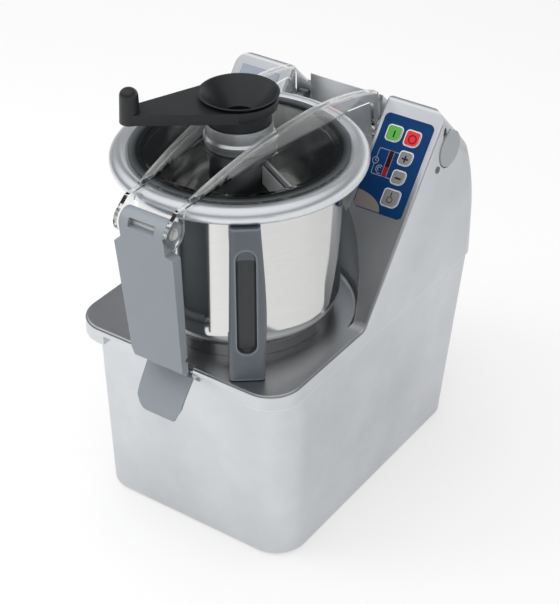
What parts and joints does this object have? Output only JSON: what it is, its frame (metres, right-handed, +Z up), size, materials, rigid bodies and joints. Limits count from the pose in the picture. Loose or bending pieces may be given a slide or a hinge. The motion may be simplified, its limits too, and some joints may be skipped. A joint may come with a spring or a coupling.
{
  "type": "bowl cutter",
  "caption": "Table-top bowl cutter with a handled steel bowl, clear hinged lid with a crank scraper, front latch, sickle blades and a sloping key panel.",
  "frame": {"origin": "on the floor under the middle of the whole machine's bounding box", "axes": "+Z up, -Y towards the front latch, +X towards the horn with the keys"},
  "size_m": [0.2594, 0.4119, 0.481],
  "materials": {
    "cast_aluminium": "cast, satin",
    "stainless": "polished",
    "rim_aluminium": "satin",
    "zinc_steel": "zinc plated",
    "core_steel": "laminated",
    "rubber": "matt",
    "dark_grey": "matt",
    "latch_grey": "matt",
    "cap_grey": "matt",
    "black": "semi-matt",
    "clear": "clear polycarbonate",
    "satin_collar": "frosted",
    "wiper_white": "matt",
    "panel_blue": "printed film",
    "display_red": "lens",
    "key_green": "matt",
    "key_red": "matt",
    "key_grey": "matt",
    "board_green": "circuit board"
  },
  "bodies": {
    "machine": {"lower_casing": "cast_aluminium", "top_casing": "cast_aluminium", "base_plate": "stainless", "rubber_feet": "rubber", "tie_bolts": "zinc_steel", "cable_gland": "dark_grey", "motor_housing": "cast_aluminium", "motor_screws": "zinc_steel", "motor_stator": "core_steel", "shaft_bearings": "zinc_steel", "shaft_seal": "rubber", "bowl": "stainless", "bowl_rim": "rim_aluminium", "bowl_foot_ring": "stainless", "bowl_handle": "dark_grey", "handle_studs": "stainless", "hinge_pins": "stainless", "hinge_bushes": "stainless", "hinge_caps": "cap_grey", "latch_catch": "stainless", "control_panel": "panel_blue", "speed_display": "display_red", "control_board": "board_green", "horn_label": "cap_grey"},
    "lid": {"lid": "clear", "lid_seal": "rubber", "lid_collar": "satin_collar", "latch_pin": "stainless"},
    "scraper": {"scraper_crank": "black", "scraper_hub": "black", "scraper_blade": "wiper_white"},
    "latch": {"latch_plate": "latch_grey", "tongue_pin": "stainless"},
    "tongue": {"latch_tongue": "latch_grey"},
    "rotor": {"drive_shaft": "stainless", "motor_core": "core_steel", "rotor_hub": "stainless", "lower_blade": "stainless", "upper_blade": "stainless", "rotor_cap": "stainless"},
    "start_key": {"key_start": "key_green"},
    "stop_key": {"key_stop": "key_red"},
    "plus_key": {"key_plus": "key_grey"},
    "minus_key": {"key_minus": "key_grey"},
    "pulse_key": {"key_pulse": "key_grey"}
  },
  "joints": [
    {"name": "lid_hinge", "type": "hinge", "parent": "machine", "child": "lid", "pos_m": [0, 0.13255, 0.357], "axis": [-1, 0, 0], "range_deg": [0, 85]},
    {"name": "scraper_spin", "type": "hinge", "parent": "lid", "child": "scraper", "pos_m": [0, -0.05145, 0.44], "axis": [0, 0, 1], "continuous": true},
    {"name": "latch_pivot", "type": "hinge", "parent": "lid", "child": "latch", "pos_m": [0, -0.19245, 0.3855], "axis": [-1, 0, 0], "range_deg": [0, 95]},
    {"name": "tongue_pivot", "type": "hinge", "parent": "latch", "child": "tongue", "pos_m": [0, -0.18295, 0.241], "axis": [-1, 0, 0], "range_deg": [0, 14], "stiffness_Nm_per_rad": 0.4, "springref_deg": -8.59},
    {"name": "rotor_spin", "type": "hinge", "parent": "machine", "child": "rotor", "pos_m": [0, -0.05145, 0.25], "axis": [0, 0, 1], "continuous": true},
    {"name": "start_press", "type": "slide", "parent": "machine", "child": "start_key", "axis": [0, 0.7822, -0.6231], "range_m": [0, 0.0008], "stiffness_N_per_m": 1500, "springref_m": -0.0004},
    {"name": "stop_press", "type": "slide", "parent": "machine", "child": "stop_key", "axis": [0, 0.7822, -0.6231], "range_m": [0, 0.0008], "stiffness_N_per_m": 1500, "springref_m": -0.0004},
    {"name": "plus_press", "type": "slide", "parent": "machine", "child": "plus_key", "axis": [0, 0.7822, -0.6231], "range_m": [0, 0.0008], "stiffness_N_per_m": 1500, "springref_m": -0.0004},
    {"name": "minus_press", "type": "slide", "parent": "machine", "child": "minus_key", "axis": [0, 0.7822, -0.6231], "range_m": [0, 0.0008], "stiffness_N_per_m": 1500, "springref_m": -0.0004},
    {"name": "pulse_press", "type": "slide", "parent": "machine", "child": "pulse_key", "axis": [0, 0.7822, -0.6231], "range_m": [0, 0.0008], "stiffness_N_per_m": 1500, "springref_m": -0.0004}
  ]
}
